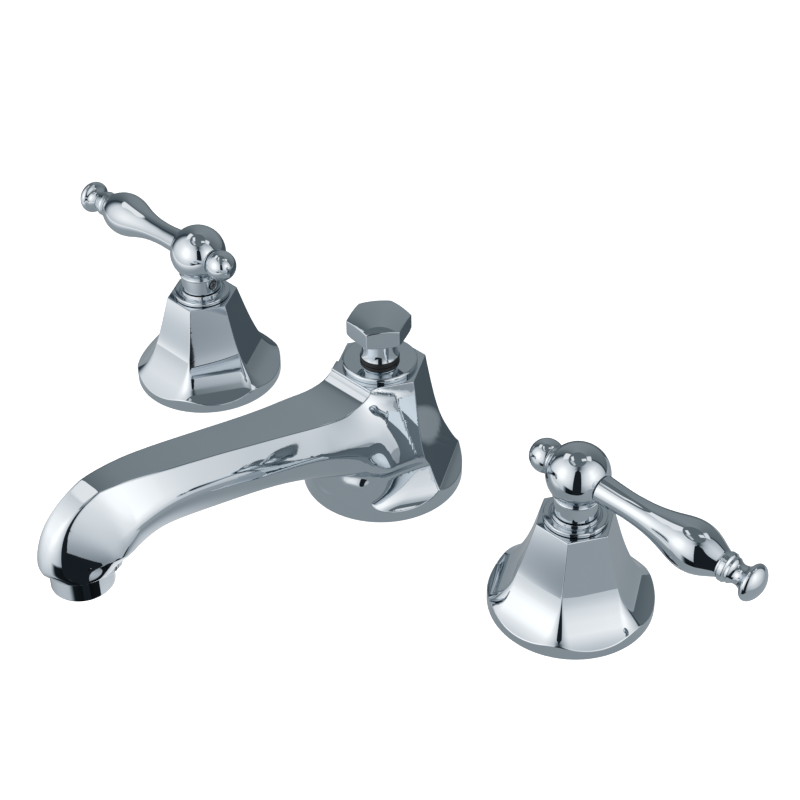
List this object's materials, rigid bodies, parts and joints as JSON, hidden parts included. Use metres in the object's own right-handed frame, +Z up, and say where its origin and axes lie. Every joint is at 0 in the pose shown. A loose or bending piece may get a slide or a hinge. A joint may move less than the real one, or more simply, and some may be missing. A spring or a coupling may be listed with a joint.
{
  "type": "widespread basin faucet",
  "caption": "Widespread basin faucet: a spout on a flared hexagonal base with a pop-up lift knob, between two lever handles on bell escutcheons, with its valves and deck fixings.",
  "frame": {"origin": "on the spout's vertical axis, at the top of the deck", "axes": "+Z up; the spout reaches out along -Y towards the basin; the hot handle is at -X and the cold handle at +X; both levers point outwards when shut"},
  "size_m": [0.3562, 0.1868, 0.2129],
  "materials": {
    "chrome": "bright polished chrome plate",
    "brass": "machined brass",
    "steel": "bright zinc-plated or stainless steel",
    "rubber": "matt black rubber",
    "black_plastic": "black acetal",
    "white_plastic": "white acetal",
    "ceramic": "lapped alumina"
  },
  "bodies": {
    "fixed_set": {"spout_body": "chrome", "spout_top_disc": "chrome", "lift_rod_bush": "black_plastic", "spout_shank": "brass", "rod_guide_tube": "brass", "spout_tee": "brass", "spout_tee_seal": "rubber", "guide_tube_nut": "brass", "spout_base_gasket": "rubber", "spout_rubber_washer": "rubber", "spout_steel_washer": "steel", "spout_mounting_nut": "brass", "aerator_housing": "chrome", "aerator_insert": "white_plastic", "aerator_washer": "rubber", "hot_escutcheon": "chrome", "hot_escutcheon_ring": "chrome", "hot_ceramic_disc_fixed": "ceramic", "hot_valve_seat_seal": "rubber", "hot_cartridge_shell": "brass", "hot_stem_o_ring": "rubber", "hot_valve_body": "brass", "hot_upper_lock_nut": "brass", "hot_deck_plate_washer": "steel", "hot_rubber_washer": "rubber", "hot_steel_washer": "steel", "hot_mounting_nut": "brass", "cold_escutcheon": "chrome", "cold_escutcheon_ring": "chrome", "cold_ceramic_disc_fixed": "ceramic", "cold_valve_seat_seal": "rubber", "cold_cartridge_shell": "brass", "cold_stem_o_ring": "rubber", "cold_valve_body": "brass", "cold_upper_lock_nut": "brass", "cold_deck_plate_washer": "steel", "cold_rubber_washer": "rubber", "cold_steel_washer": "steel", "cold_mounting_nut": "brass"},
    "hot_handle": {"hot_handle_hub": "chrome", "hot_lever": "chrome", "hot_finial": "chrome", "hot_set_screw": "steel", "hot_valve_stem": "brass", "hot_ceramic_disc_moving": "ceramic"},
    "cold_handle": {"cold_handle_hub": "chrome", "cold_lever": "chrome", "cold_finial": "chrome", "cold_set_screw": "steel", "cold_valve_stem": "brass", "cold_ceramic_disc_moving": "ceramic"},
    "lift_unit": {"lift_knob": "chrome", "lift_rod": "steel"}
  },
  "joints": [
    {"name": "hot_handle_turn", "type": "hinge", "parent": "fixed_set", "child": "hot_handle", "pos_m": [-0.1016, -0.0042, 0], "axis": [0, 0, 1], "range_deg": [0, 90]},
    {"name": "cold_handle_turn", "type": "hinge", "parent": "fixed_set", "child": "cold_handle", "pos_m": [0.1016, -0.0042, 0], "axis": [0, 0, 1], "range_deg": [-90, 0]},
    {"name": "lift_rod_slide", "type": "slide", "parent": "fixed_set", "child": "lift_unit", "axis": [0, 0, 1], "range_m": [0, 0.025]}
  ]
}
